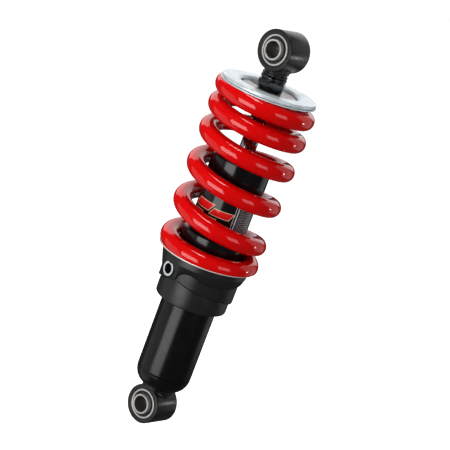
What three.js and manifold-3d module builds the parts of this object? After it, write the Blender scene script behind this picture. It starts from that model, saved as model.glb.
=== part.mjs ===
// A rear shock absorber (coil-over-damper monoshock) for a motorcycle, as an assembly of its separate pieces.
// Millimetres, +Z up. The origin is the centre of the lower eye, and the upper eye stands above it on +Z.
// Both eyes have their bolt axes along Y.
import * as THREE from "three";
import { mergeVertices } from "three/addons/utils/BufferGeometryUtils.js";
import Module from "manifold-3d";

const wasm = await Module();
wasm.setup();

// ---- Driving dimensions ----

const EYE_TO_EYE = 290;
const GAP = 0.3; // between pieces that touch on the real object
const SLIP = 0.1; // radial clearance of a running or pressed fit
const FINE = 36; // sides of the large round pieces
const INNER = 28; // sides of the pieces inside the tube
const COARSE = 24; // sides of the small ones

// Eyes and their rubber bushes.
const EYE_R = 15.2;
const EYE_WIDTH = 24;
const SHELL_R = 11.4;
const SHELL_WALL = 1.3;
const SHELL_WIDTH = 23;
const SLEEVE_R = 7.6;
const SLEEVE_BORE_R = 6.1;
const SLEEVE_LENGTH = 28;
const RUBBER_WIDTH = 21;
const RUBBER_DISH = 1.2; // depth of the groove in each face of the rubber
const EYE_CHAMFER = 0.7;
const LOWER_NECK_TOP = 17.6;

// Damper body.
const BODY_R = 21.25;
const BODY_BORE_R = 18;
const BODY_BOTTOM = 28.6;
const BODY_TOP = 196;
const BASE_NECK_R = 11;
const BASE_RISE = 12.6; // height of the base's rounded shoulder
const BASE_FLOOR = { under: 17.9, top: 18.8, radius: 13 };
const CAP_R = 23;
const CAP_BOTTOM = 185;
const CAP_TOP = 205.2;
const CAP_ROOF_UNDER = 199;
const CAP_HOLE_R = 9.3;
const SNAP_GROOVE = { low: 88.4, high: 90.3, depth: 0.7 }; // outside the tube
const O_RING_GROOVE = { low: 182.6, high: 185.4, depth: 1.6 }; // outside the seal head
const HEAD_BOTTOM = 176;
const HEAD_TOP = 198.7;
const HEAD_BORE_R = 8.3; // holds the bushing
const SEAL_POCKET_R = 11;
const SEAL_POCKET_FLOOR = 190.4;

// Rod and what it carries.
const ROD_R = 6.25;
const THREAD_R = 5.85;
const TAIL_R = 5;
const TAIL_END = 139.4;
const SHOULDER = 166.6; // where the rod steps down to its tail
const THREAD_START = 257.2;
const ROD_TOP = 276.2;
const ROD_CHAMFER = 0.6;
const PISTON = { low: 151, high: 163.6, radius: 17.6 };
const BAND_GROOVE = { low: 153.8, high: 161.2, depth: 0.9 };
const PORT = { count: 6, radius: 1.7, circleR: 12.4 };
const SHIM_RADII = [15, 13, 11, 9];
const SHIM_THICKNESS = 0.6;
const FLOATING = { low: 72.5, high: 86, radius: 17.7, hollowR: 12, web: [76, 83] };
const FLOATING_GROOVE = { low: 78, high: 81, depth: 1.6 };

// Spring.
const WIRE_R = 6.85;
const COIL_R = 32.4; // radius of the wire's centre line
const SPRING_BOTTOM = 127.6;
const SPRING_TOP = 258;
const SPRING_ID_R = COIL_R - WIRE_R;
const COIL_START_DEG = 215.7; // where the first full coil begins
const CLOSED_TOP_TURNS = 0.42; // closed end above the first full coil
const COIL_COUNT = 5.8;
const PITCHES = [15.2, 19.7, 26.8, 29.6, 29.7]; // full turn by full turn, tighter towards the top
const FIRST_COIL = 254.3; // height of the wire's centre line where the first full coil begins
const TOP_END_PITCH = 14.2; // of the closed end, whose tip lies against the first coil
const START_PITCH = 9; // where the first full coil begins
const BOTTOM_END_PITCH = 15.8; // where the closed bottom end begins, and it dies away from there
const BOTTOM_END_REACH = 0.33; // turns over which it dies away

// Preload adjuster: a ramp ring fixed on the body, and a collar that climbs it.
const RAMP_R = 27.8;
const COLLAR_BORE_R = 21.6;
const RING_BOTTOM = 88.5;
const RING_RECESS = { radius: 23.4, top: 90.6 }; // takes the snap ring
const RING_CHAMFER = 1.4;
const RAMP_LOW = 97.6;
const RAMP_HIGH = 107;
const RAMP_START_DEG = -89; // crest of the first of the two ramps
const RAMP_FALL_DEG = 115; // the ramp falls over this angle, and rises again over the rest of its half turn
const RAMPS = 2;
const RAMP_PLAY = 0.5;
const RAMP_SIDES = 72;
const SKIRT_R = 29.8;
const SKIRT_CHAMFER = 1.1;
const STEP_LIP = 1.6; // the collar's step stands this far out from the skirt
const STEP_RISE = 1.7; // height of the step's sloped underside
const STEP_FOOT = 107.8;
const STEP_LEVEL = 112.7;
const ARCH_TOP = 115.8;
const ARCH_LAG_DEG = 4; // the arch begins this far after the ramp's crest
const ARCH_DEG = 17; // from its foot to its top
const ARCH_FALL_DEG = 32; // from its top down to the level part
const STEP_END_DEG = 125; // the level part ends here, counted from the arch's foot
const STEP_FOOT_DEG = 150; // and the step is down at its foot here
const FLANGE_R = 33.4;
const FLANGE_BOTTOM = 120.4;
const COLLAR_TOP = 126.5;
const BAR_HOLE_R = 3.6;
const BAR_HOLE_Z = 113.2;
const BAR_HOLE_BEFORE_CREST_DEG = 11.5;
const BAR_HOLE_FLOOR_R = 25.5;
const BOSS_R = 5.9;
const BOSS_FACE_R = 32.8; // distance of the boss's flat face from the axis
const GUIDE_R = 24.5;
const GUIDE_TOP = 145.6;
const GUIDE_CHAMFER = 1.3;
const LOWER_WASHER = { inner: 24.8, outer: 38 };

// Upper end.
const SEAT_R = 36;
const SEAT_TOP = 262;
const SEAT_FLOOR_TOP = 254.6;
const SEAT_FLOOR = 2.6; // thickness of the seat's floor
const SEAT_HOLE_R = 9.8;
const SEAT_EDGE = 0.9;
const UPPER_WASHER = { inner: 25.9, outer: 36.6, thickness: 0.7 };
const RETAINER = { radius: 20.5, flange: 5, collarR: 9.2, grooveR: 8.6, slotLength: 30, slotDeg: 165 };
const NUT_BOTTOM = 262.6;
const NUT_TOP = 271;
const NUT_ACROSS_FLATS = 19;
const NUT_CORNER_CUT = 0.9;
const STEM_R = 9.6;
const STEM_FLARE = 1.2;
const BUMP_BOTTOM = 241.5;
const BUMP_TOP = 250;
const BUMP_R = 12;
const BUMP_NECK_R = 9.8;

// ---- Colours ----

const LOOKS = {
  blackSteel: { color: 0x1b1b1d, roughness: 0.45, metalness: 0.2 },
  blackPaint: { color: 0x0c0c0e, roughness: 0.25, metalness: 0.1 },
  blackPlastic: { color: 0x08080a, roughness: 0.2, metalness: 0 },
  redPaint: { color: 0xdc0a12, roughness: 0.25, metalness: 0 },
  zinc: { color: 0xc9d3d8, roughness: 0.35, metalness: 0.85 },
  steel: { color: 0xb4b2ae, roughness: 0.35, metalness: 0.9 },
  chrome: { color: 0xd4d6d8, roughness: 0.12, metalness: 1 },
  aluminium: { color: 0xbfc1c4, roughness: 0.4, metalness: 0.9 },
  bronze: { color: 0xa87c46, roughness: 0.4, metalness: 0.8 },
  rubber: { color: 0x2a2a2c, roughness: 0.85, metalness: 0 },
  slipBand: { color: 0x3b2a22, roughness: 0.6, metalness: 0 },
};

const shock = new THREE.Group();
shock.name = "rear_shock_absorber";

function add(name, geometry, look) {
  const mesh = new THREE.Mesh(geometry, new THREE.MeshStandardMaterial(LOOKS[look]));
  mesh.name = name;
  shock.add(mesh);
  return mesh;
}

// ---- Shape helpers ----

// Twice the signed area of an outline, which says which way round it runs.
function turnOf(outline) {
  return outline.reduce((sum, [x, y], i) => {
    const [nextX, nextY] = outline[(i + 1) % outline.length];
    return sum + x * nextY - nextX * y;
  }, 0);
}

// A solid of revolution about Y from a closed outline of [radius, height] points.
function lathed(outline, sides) {
  const points = turnOf(outline) > 0 ? [...outline] : [...outline].reverse();
  const firstOnAxis = points.findIndex(([r], i) => r === 0 && points.at(i - 1)[0] === 0);
  const ordered = firstOnAxis < 0 ? points : [...points.slice(firstOnAxis), ...points.slice(0, firstOnAxis)];
  if (firstOnAxis < 0) ordered.push(points[0]);
  return new THREE.LatheGeometry(ordered.map(([r, h]) => new THREE.Vector2(r, h)), sides);
}

// The same about Z, for everything that stands on the damper's axis.
function turned(outline, sides = FINE) {
  return lathed(outline, sides).rotateX(Math.PI / 2);
}

// Outline of a plain ring between two radii and two heights, with its corners cut by a chamfer.
function ringOutline(inner, outer, low, high, chamfer = 0) {
  if (chamfer === 0) return [[inner, low], [outer, low], [outer, high], [inner, high]];
  return [
    [inner, low],
    [outer - chamfer, low],
    [outer, low + chamfer],
    [outer, high - chamfer],
    [outer - chamfer, high],
    [inner, high],
  ];
}

function solidOf(geometry) {
  const bare = geometry.clone();
  bare.deleteAttribute("normal");
  bare.deleteAttribute("uv");
  const merged = mergeVertices(bare, 1e-3);
  return new wasm.Manifold(
    new wasm.Mesh({
      numProp: 3,
      vertProperties: merged.attributes.position.array,
      triVerts: new Uint32Array(merged.index.array),
    }),
  );
}

function geometryOf(solid) {
  const mesh = solid.getMesh();
  const geometry = new THREE.BufferGeometry();
  geometry.setAttribute("position", new THREE.BufferAttribute(mesh.vertProperties, 3));
  geometry.setIndex(new THREE.BufferAttribute(mesh.triVerts, 1));
  geometry.computeVertexNormals();
  return geometry;
}

function joined(...geometries) {
  return geometryOf(geometries.map(solidOf).reduce((whole, piece) => whole.add(piece)));
}

function cut(geometry, ...tools) {
  return geometryOf(tools.map(solidOf).reduce((whole, tool) => whole.subtract(tool), solidOf(geometry)));
}

// A plain round bar about Z, from one height to another.
function bar(radius, low, high, sides = COARSE) {
  return turned([[0, low], [radius, low], [radius, high], [0, high]], sides);
}

// A hexagonal prism about Z with a round hole.
function hexNut(acrossFlats, holeR, low, high) {
  const corner = acrossFlats / Math.sqrt(3);
  const outline = new THREE.Shape();
  for (let i = 0; i < 6; i++) {
    const angle = (i * Math.PI) / 3;
    const [x, y] = [corner * Math.cos(angle), corner * Math.sin(angle)];
    if (i === 0) outline.moveTo(x, y);
    else outline.lineTo(x, y);
  }
  outline.holes.push(new THREE.Path().absarc(0, 0, holeR, 0, Math.PI * 2, true));
  const prism = new THREE.ExtrudeGeometry(outline, {
    depth: high - low,
    bevelEnabled: false,
    curveSegments: COARSE / 2,
  });
  prism.translate(0, 0, low);
  // The corners are turned off at both ends, as on a real nut.
  const rounding = turned([
    [0, low],
    [acrossFlats / 2, low],
    [corner + SLIP, low + NUT_CORNER_CUT],
    [corner + SLIP, high - NUT_CORNER_CUT],
    [acrossFlats / 2, high],
    [0, high],
  ]);
  return geometryOf(solidOf(prism).intersect(solidOf(rounding)));
}

// ---- Eyes and bushes ----

const barrelBore = lathed(ringOutline(0, SHELL_R + SLIP, -EYE_WIDTH, EYE_WIDTH), FINE);

function eyeBarrel() {
  return lathed(
    [
      [SHELL_R - 1, -EYE_WIDTH / 2],
      [EYE_R - EYE_CHAMFER, -EYE_WIDTH / 2],
      [EYE_R, -EYE_WIDTH / 2 + EYE_CHAMFER],
      [EYE_R, EYE_WIDTH / 2 - EYE_CHAMFER],
      [EYE_R - EYE_CHAMFER, EYE_WIDTH / 2],
      [SHELL_R - 1, EYE_WIDTH / 2],
    ],
    FINE,
  );
}

function lowerEye() {
  const neck = bar(BASE_NECK_R, SHELL_R, LOWER_NECK_TOP, FINE);
  return cut(joined(eyeBarrel(), neck), barrelBore);
}

// The upper eye's stem is threaded onto the rod from below.
function upperEye() {
  const barrel = eyeBarrel().translate(0, 0, EYE_TO_EYE);
  const stemFoot = NUT_TOP + GAP;
  const stem = turned([
    [0, stemFoot],
    [STEM_R - EYE_CHAMFER, stemFoot],
    [STEM_R, stemFoot + EYE_CHAMFER],
    [STEM_R, EYE_TO_EYE - EYE_R + STEM_FLARE],
    [STEM_R + STEM_FLARE, EYE_TO_EYE - SHELL_R],
    [0, EYE_TO_EYE - SHELL_R],
  ]);
  const threadHole = bar(THREAD_R + SLIP, stemFoot - 1, ROD_TOP + 1, COARSE);
  const bore = barrelBore.clone().translate(0, 0, EYE_TO_EYE);
  return cut(joined(barrel, stem), bore, threadHole);
}

// The steel outer shell, the rubber bonded inside it and the bolt sleeve, about an axis along Y.
function addBush(end, height) {
  const half = RUBBER_WIDTH / 2;
  const shell = ringOutline(SHELL_R - SHELL_WALL, SHELL_R, -SHELL_WIDTH / 2, SHELL_WIDTH / 2);
  add(`${end}_bush_shell`, lathed(shell, FINE).translate(0, 0, height), "steel");
  const inner = SLEEVE_R + SLIP;
  const outer = SHELL_R - SHELL_WALL - SLIP;
  const middle = (inner + outer) / 2;
  const rubber = [
    [inner, -half],
    [middle, -half + RUBBER_DISH],
    [outer, -half],
    [outer, half],
    [middle, half - RUBBER_DISH],
    [inner, half],
  ];
  add(`${end}_bush_rubber`, lathed(rubber, FINE).translate(0, 0, height), "rubber");
  const long = SLEEVE_LENGTH / 2;
  const sleeve = ringOutline(SLEEVE_BORE_R, SLEEVE_R, -long, long, 0.4);
  add(`${end}_bush_sleeve`, lathed(sleeve, FINE).translate(0, 0, height), "steel");
}

add("lower_eye", lowerEye(), "blackSteel");
add("upper_eye", upperEye(), "blackSteel");
addBush("lower", 0);
addBush("upper", EYE_TO_EYE);

// ---- Damper body ----

// The pressed base: a quarter ellipse outside, from the neck up to the tube.
function bodyBase() {
  const foot = BASE_NECK_R + 0.4;
  const rim = BODY_BOTTOM - GAP;
  const outside = [];
  const steps = 7;
  for (let i = 0; i <= steps; i++) {
    const angle = (i / steps) * (Math.PI / 2);
    outside.push([foot + (BODY_R - foot) * Math.sin(angle), rim - BASE_RISE * Math.cos(angle)]);
  }
  // The dished floor inside.
  const inside = [
    [BODY_BORE_R, rim],
    [BODY_BORE_R - 2, rim - 5],
    [BASE_FLOOR.radius, BASE_FLOOR.top],
    [0, BASE_FLOOR.top],
  ];
  return turned([...outside, ...inside, [0, BASE_FLOOR.under], [foot, BASE_FLOOR.under]]);
}

// The tube, with a groove outside for the snap ring that carries the ramp ring.
function bodyTube() {
  return turned([
    [BODY_BORE_R, BODY_BOTTOM],
    [BODY_R, BODY_BOTTOM],
    [BODY_R, SNAP_GROOVE.low],
    [BODY_R - SNAP_GROOVE.depth, SNAP_GROOVE.low],
    [BODY_R - SNAP_GROOVE.depth, SNAP_GROOVE.high],
    [BODY_R, SNAP_GROOVE.high],
    [BODY_R, BODY_TOP],
    [BODY_BORE_R, BODY_TOP],
  ]);
}

function topCap() {
  const lowerEdge = 0.6;
  const upperEdge = 1.4;
  return turned([
    [BODY_R + SLIP, CAP_BOTTOM],
    [CAP_R - lowerEdge, CAP_BOTTOM],
    [CAP_R, CAP_BOTTOM + lowerEdge],
    [CAP_R, CAP_TOP - upperEdge],
    [CAP_R - upperEdge, CAP_TOP],
    [CAP_HOLE_R, CAP_TOP],
    [CAP_HOLE_R, CAP_ROOF_UNDER],
    [BODY_R + SLIP, CAP_ROOF_UNDER],
  ]);
}

add("body_base", bodyBase(), "blackPaint");
add("body_tube", bodyTube(), "blackPaint");
add("top_cap", topCap(), "blackPlastic");

// ---- Seal head, inside the top of the tube ----

// A flange rests on the tube's end, and the body goes down inside it.
function sealHead() {
  const outer = BODY_BORE_R - SLIP;
  const flangeR = BODY_R - 2 * SLIP;
  return turned([
    [HEAD_BORE_R, HEAD_BOTTOM],
    [outer, HEAD_BOTTOM],
    [outer, O_RING_GROOVE.low],
    [outer - O_RING_GROOVE.depth, O_RING_GROOVE.low],
    [outer - O_RING_GROOVE.depth, O_RING_GROOVE.high],
    [outer, O_RING_GROOVE.high],
    [outer, BODY_TOP + GAP],
    [flangeR, BODY_TOP + GAP],
    [flangeR, HEAD_TOP],
    [SEAL_POCKET_R, HEAD_TOP],
    [SEAL_POCKET_R, SEAL_POCKET_FLOOR],
    [HEAD_BORE_R, SEAL_POCKET_FLOOR],
  ], INNER);
}

function headORing() {
  const inner = BODY_BORE_R - O_RING_GROOVE.depth;
  const outer = BODY_BORE_R - 1.5 * SLIP;
  return turned(ringOutline(inner, outer, O_RING_GROOVE.low + GAP, O_RING_GROOVE.high - GAP, 0.5), INNER);
}

function dustWiper() {
  const bore = ROD_R + 2 * SLIP;
  const lip = CAP_TOP + 0.7;
  return turned([
    [bore, CAP_ROOF_UNDER + 1],
    [CAP_HOLE_R - GAP, CAP_ROOF_UNDER + 1],
    [CAP_HOLE_R - GAP, CAP_TOP - 0.2],
    [bore + 1, lip],
    [bore, lip],
  ], COARSE);
}

add("seal_head", sealHead(), "aluminium");
add("rod_bushing", turned(ringOutline(ROD_R + SLIP, HEAD_BORE_R - SLIP, 178.2, 189.8), INNER), "bronze");
add(
  "oil_seal",
  turned(ringOutline(ROD_R + SLIP, SEAL_POCKET_R - 2 * SLIP, SEAL_POCKET_FLOOR + 0.4, 197), COARSE),
  "rubber",
);
add("head_o_ring", headORing(), "rubber");
add("dust_wiper", dustWiper(), "rubber");

// ---- Rod and piston ----

function pistonRod() {
  return turned([
    [0, TAIL_END],
    [TAIL_R - ROD_CHAMFER, TAIL_END],
    [TAIL_R, TAIL_END + ROD_CHAMFER],
    [TAIL_R, SHOULDER],
    [ROD_R, SHOULDER],
    [ROD_R, THREAD_START - ROD_CHAMFER],
    [THREAD_R, THREAD_START],
    [THREAD_R, ROD_TOP - ROD_CHAMFER],
    [THREAD_R - ROD_CHAMFER, ROD_TOP],
    [0, ROD_TOP],
  ], INNER);
}

// A ring with a rectangular groove round its outside.
function groovedRing(inner, outer, low, high, groove) {
  return [
    [inner, low],
    [outer, low],
    [outer, groove.low],
    [outer - groove.depth, groove.low],
    [outer - groove.depth, groove.high],
    [outer, groove.high],
    [outer, high],
    [inner, high],
  ];
}

function piston() {
  const outline = groovedRing(TAIL_R + SLIP, PISTON.radius, PISTON.low, PISTON.high, BAND_GROOVE);
  const ports = [];
  for (let i = 0; i < PORT.count; i++) {
    const angle = (i * Math.PI * 2) / PORT.count;
    const port = bar(PORT.radius, PISTON.low - 1, PISTON.high + 1, 8);
    ports.push(port.translate(PORT.circleR * Math.cos(angle), PORT.circleR * Math.sin(angle), 0));
  }
  return cut(turned(outline, INNER), ...ports);
}

// A stack of thin discs, widest against the piston, drawn as one stepped disc.
function shimStack(face, direction) {
  const outline = [[TAIL_R + SLIP, face]];
  SHIM_RADII.forEach((radius, i) => {
    outline.push([radius, face + direction * i * SHIM_THICKNESS]);
    outline.push([radius, face + direction * (i + 1) * SHIM_THICKNESS]);
  });
  outline.push([TAIL_R + SLIP, face + direction * SHIM_RADII.length * SHIM_THICKNESS]);
  return turned(outline, COARSE);
}

function pistonBand() {
  const inner = PISTON.radius - BAND_GROOVE.depth + SLIP;
  const outer = BODY_BORE_R - 2 * SLIP;
  return turned(ringOutline(inner, outer, BAND_GROOVE.low + GAP, BAND_GROOVE.high - GAP), INNER);
}

// The floating piston parts the oil above it from the gas below.
function floatingPiston() {
  const [webLow, webHigh] = FLOATING.web;
  const side = groovedRing(FLOATING.hollowR, FLOATING.radius, FLOATING.low, FLOATING.high, FLOATING_GROOVE);
  const under = [[0, webLow], [FLOATING.hollowR, webLow]];
  const over = [[FLOATING.hollowR, webHigh], [0, webHigh]];
  return turned([...under, ...side, ...over], INNER);
}

function floatingPistonRing() {
  const inner = FLOATING.radius - FLOATING_GROOVE.depth + SLIP;
  const [low, high] = [FLOATING_GROOVE.low + GAP, FLOATING_GROOVE.high - GAP];
  return turned(ringOutline(inner, BODY_BORE_R - 2 * SLIP, low, high, 0.5), INNER);
}

const plateLow = SHOULDER + 0.4;
const plateHigh = plateLow + 2.2;
add("piston_rod", pistonRod(), "chrome");
add("piston", piston(), "steel");
add("piston_band", pistonBand(), "slipBand");
add("rebound_shims", shimStack(PISTON.high + SLIP, 1), "steel");
add("compression_shims", shimStack(PISTON.low - SLIP, -1), "steel");
add("piston_nut", hexNut(15, TAIL_R + SLIP, 141, 148.2), "steel");
add("top_out_plate", turned(ringOutline(ROD_R + SLIP, 12, plateLow, plateHigh, 0.3), COARSE), "steel");
add(
  "top_out_bumper",
  turned(ringOutline(ROD_R + SLIP, 10.8, plateHigh + 2 * SLIP, HEAD_BOTTOM - GAP, 0.8), COARSE),
  "rubber",
);
add("floating_piston", floatingPiston(), "aluminium");
add("floating_piston_ring", floatingPistonRing(), "rubber");

// ---- Preload adjuster ----

const RAMP_PERIOD_DEG = 360 / RAMPS;

// Height of the ramp at an angle about Z. The ramps follow each other round the ring.
function rampHeight(degrees) {
  const along = THREE.MathUtils.euclideanModulo(degrees - RAMP_START_DEG, RAMP_PERIOD_DEG);
  if (along < RAMP_FALL_DEG) return THREE.MathUtils.lerp(RAMP_HIGH, RAMP_LOW, along / RAMP_FALL_DEG);
  const share = (along - RAMP_FALL_DEG) / (RAMP_PERIOD_DEG - RAMP_FALL_DEG);
  return THREE.MathUtils.lerp(RAMP_LOW, RAMP_HIGH, share);
}

// Height of the step on the collar's outside: an arch after each crest of the ramp, then a level part.
function stepHeight(degrees) {
  const arch = degrees - RAMP_START_DEG - ARCH_LAG_DEG;
  const along = THREE.MathUtils.euclideanModulo(arch, RAMP_PERIOD_DEG);
  if (along < ARCH_DEG) {
    const left = 1 - along / ARCH_DEG;
    return STEP_FOOT + (ARCH_TOP - STEP_FOOT) * Math.sqrt(1 - left * left);
  }
  if (along < ARCH_DEG + ARCH_FALL_DEG) {
    const fall = THREE.MathUtils.smoothstep(along - ARCH_DEG, 0, ARCH_FALL_DEG);
    return THREE.MathUtils.lerp(ARCH_TOP, STEP_LEVEL, fall);
  }
  if (along < STEP_END_DEG) return STEP_LEVEL;
  const share = Math.min((along - STEP_END_DEG) / (STEP_FOOT_DEG - STEP_END_DEG), 1);
  return THREE.MathUtils.lerp(STEP_LEVEL, STEP_FOOT, share);
}

// A solid of revolution whose marked outline points rise and fall with the angle about Z.
// The outline's heights may be numbers, or functions of that angle in degrees.
function waved(outline) {
  const flat = outline.map(([r, h], i) => [r, typeof h === "function" ? h(0) : h, i]);
  const geometry = lathed(flat.map(([r, h]) => [r, h]), RAMP_SIDES).rotateX(Math.PI / 2);
  const position = geometry.attributes.position;
  for (let i = 0; i < position.count; i++) {
    const [x, y, z] = [position.getX(i), position.getY(i), position.getZ(i)];
    const radius = Math.hypot(x, y);
    const degrees = THREE.MathUtils.radToDeg(Math.atan2(y, x));
    const match = flat.find(([r, h]) => Math.abs(r - radius) < 1e-3 && Math.abs(h - z) < 1e-3);
    const height = outline[match[2]][1];
    if (typeof height === "function") position.setZ(i, height(Math.round(degrees * 10) / 10));
  }
  return geometry;
}

function rampRing() {
  return waved([
    [RING_RECESS.radius, RING_BOTTOM],
    [RAMP_R - RING_CHAMFER, RING_BOTTOM],
    [RAMP_R, RING_BOTTOM + RING_CHAMFER],
    [RAMP_R, rampHeight],
    [COLLAR_BORE_R, rampHeight],
    [COLLAR_BORE_R, RING_RECESS.top],
    [RING_RECESS.radius, RING_RECESS.top],
  ]);
}

// The collar, with two blind holes for a tommy bar, each in a round boss with a flat face.
function rampCollar() {
  const edge = (degrees) => rampHeight(degrees) + RAMP_PLAY;
  const split = 0.01; // parts two outline points that would share one place
  const flangeEdge = 0.6;
  const body = waved([
    [COLLAR_BORE_R, edge],
    [SKIRT_R - SKIRT_CHAMFER, edge],
    [SKIRT_R, (degrees) => edge(degrees) + SKIRT_CHAMFER],
    [SKIRT_R + split, stepHeight],
    [SKIRT_R + STEP_LIP, (degrees) => stepHeight(degrees) + STEP_RISE],
    [FLANGE_R, FLANGE_BOTTOM],
    [FLANGE_R, COLLAR_TOP - flangeEdge],
    [FLANGE_R - flangeEdge, COLLAR_TOP],
    [COLLAR_BORE_R + 2 * split, COLLAR_TOP],
  ]);
  const turnedOut = (geometry, degrees) => {
    const turnedTo = geometry.rotateY(Math.PI / 2).rotateZ(THREE.MathUtils.degToRad(degrees));
    return turnedTo.translate(0, 0, BAR_HOLE_Z);
  };
  const bosses = [];
  const holes = [];
  for (let i = 0; i < RAMPS; i++) {
    const degrees = RAMP_START_DEG - BAR_HOLE_BEFORE_CREST_DEG + i * RAMP_PERIOD_DEG;
    bosses.push(turnedOut(bar(BOSS_R, SKIRT_R - STEP_LIP * 3, BOSS_FACE_R, COARSE), degrees));
    holes.push(turnedOut(bar(BAR_HOLE_R, BAR_HOLE_FLOOR_R, FLANGE_R + 5, 16), degrees));
  }
  return cut(joined(body, ...bosses), ...holes);
}

function snapRing() {
  const inner = BODY_R - SNAP_GROOVE.depth + SLIP;
  const outer = RING_RECESS.radius - GAP;
  return turned(ringOutline(inner, outer, SNAP_GROOVE.low + SLIP, SNAP_GROOVE.high - 2 * SLIP, 0.5));
}

function springGuide() {
  return turned([
    [COLLAR_BORE_R, COLLAR_TOP + GAP],
    [GUIDE_R, COLLAR_TOP + GAP],
    [GUIDE_R, GUIDE_TOP - GUIDE_CHAMFER],
    [GUIDE_R - GUIDE_CHAMFER, GUIDE_TOP],
    [COLLAR_BORE_R, GUIDE_TOP],
  ]);
}

const { inner: washerInner, outer: washerOuter } = LOWER_WASHER;
const lowerWasher = ringOutline(washerInner, washerOuter, COLLAR_TOP + GAP, SPRING_BOTTOM - GAP);
add("ramp_snap_ring", snapRing(), "steel");
add("preload_ramp_ring", rampRing(), "blackSteel");
add("preload_collar", rampCollar(), "blackSteel");
add("lower_spring_washer", turned(lowerWasher), "steel");
add("spring_guide", springGuide(), "blackPlastic");

// ---- Coil spring ----

// How far the wire comes down over part of a turn, from the pitches before, within and after that turn.
function easedDrop(share, before, within, after) {
  const [squared, cubed] = [share ** 2, share ** 3];
  const start = before * (share - 2 * squared + cubed);
  const end = after * (cubed - squared);
  return start + within * (3 * squared - 2 * cubed) + end;
}

// Height of the wire's centre line after a number of turns from where the first full coil begins, going down.
function wireHeight(turns) {
  const last = PITCHES.length;
  if (turns < 0) return FIRST_COIL - turns * TOP_END_PITCH;
  const whole = Math.min(Math.floor(turns), last);
  const above = FIRST_COIL - PITCHES.slice(0, whole).reduce((sum, pitch) => sum + pitch, 0);
  const share = turns - whole;
  if (whole === last) {
    const dropped = 1 - Math.exp(-share / BOTTOM_END_REACH);
    return above - BOTTOM_END_PITCH * BOTTOM_END_REACH * dropped;
  }
  const before = whole > 0 ? (PITCHES[whole - 1] + PITCHES[whole]) / 2 : START_PITCH;
  const after = whole < last - 1 ? (PITCHES[whole] + PITCHES[whole + 1]) / 2 : BOTTOM_END_PITCH;
  return above - easedDrop(share, before, PITCHES[whole], after);
}

// A left-hand helix: it comes down as it turns anticlockwise seen from above.
class WireLine extends THREE.Curve {
  getPoint(t, target = new THREE.Vector3()) {
    const turns = THREE.MathUtils.lerp(-CLOSED_TOP_TURNS, COIL_COUNT, t);
    const angle = THREE.MathUtils.degToRad(COIL_START_DEG) + turns * Math.PI * 2;
    return target.set(COIL_R * Math.cos(angle), COIL_R * Math.sin(angle), wireHeight(turns));
  }
}

function coilSpring() {
  const section = new THREE.Shape().absarc(0, 0, WIRE_R, 0, Math.PI * 2);
  const turns = CLOSED_TOP_TURNS + COIL_COUNT;
  const wire = new THREE.ExtrudeGeometry(section, {
    steps: Math.round(turns * 20),
    extrudePath: new WireLine(),
    curveSegments: 5,
  });
  // Both ends are ground flat.
  const between = turned(ringOutline(0, 2 * COIL_R, SPRING_BOTTOM, SPRING_TOP), 12);
  return geometryOf(solidOf(wire).intersect(solidOf(between)));
}

add("coil_spring", coilSpring(), "redPaint");

// ---- Upper seat, retainer and bump stop ----

function upperSeat() {
  const rimUnder = SPRING_TOP + GAP + UPPER_WASHER.thickness + GAP;
  const hub = SPRING_ID_R - 1.1;
  const wall = hub - 2.6;
  const floorUnder = SEAT_FLOOR_TOP - SEAT_FLOOR;
  return turned([
    [SEAT_HOLE_R, floorUnder],
    [hub - 1.2, floorUnder],
    [hub, floorUnder + 1.2],
    [hub, rimUnder],
    [SEAT_R - SEAT_EDGE, rimUnder],
    [SEAT_R, rimUnder + SEAT_EDGE],
    [SEAT_R, SEAT_TOP - SEAT_EDGE],
    [SEAT_R - SEAT_EDGE, SEAT_TOP],
    [wall + 2.2, SEAT_TOP],
    [wall + 0.2, SEAT_TOP - 1.8],
    [wall, SEAT_FLOOR_TOP],
    [SEAT_HOLE_R, SEAT_FLOOR_TOP],
  ]);
}

// A horseshoe that slides in from the side under the nut, and carries the seat's load.
function seatRetainer() {
  const low = SEAT_FLOOR_TOP + GAP;
  const bore = THREAD_R + 0.6;
  const edge = 0.6;
  const grooveZ = low + RETAINER.flange + 1;
  const ring = turned([
    [bore, low],
    [RETAINER.radius - edge, low],
    [RETAINER.radius, low + edge],
    [RETAINER.radius, low + RETAINER.flange - edge],
    [RETAINER.radius - edge, low + RETAINER.flange],
    [RETAINER.collarR, low + RETAINER.flange],
    [RETAINER.grooveR, grooveZ],
    [RETAINER.collarR, grooveZ + 1],
    [RETAINER.collarR, NUT_BOTTOM - GAP],
    [bore, NUT_BOTTOM - GAP],
  ]);
  const slot = new THREE.BoxGeometry(RETAINER.slotLength, 2 * ROD_R + 0.4, RETAINER.slotLength);
  slot.translate(RETAINER.slotLength / 2, 0, low);
  return cut(ring, slot.rotateZ(THREE.MathUtils.degToRad(RETAINER.slotDeg)));
}

function bumpStop() {
  const bore = ROD_R + SLIP;
  const nose = BUMP_R - 1.4;
  return turned([
    [bore, BUMP_BOTTOM],
    [nose - 1.6, BUMP_BOTTOM],
    [nose, BUMP_BOTTOM + 1.6],
    [nose, BUMP_BOTTOM + 3.4],
    [BUMP_NECK_R, BUMP_BOTTOM + 4.4],
    [BUMP_R, BUMP_BOTTOM + 6],
    [BUMP_R, BUMP_TOP],
    [bore, BUMP_TOP],
  ], COARSE);
}

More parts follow.
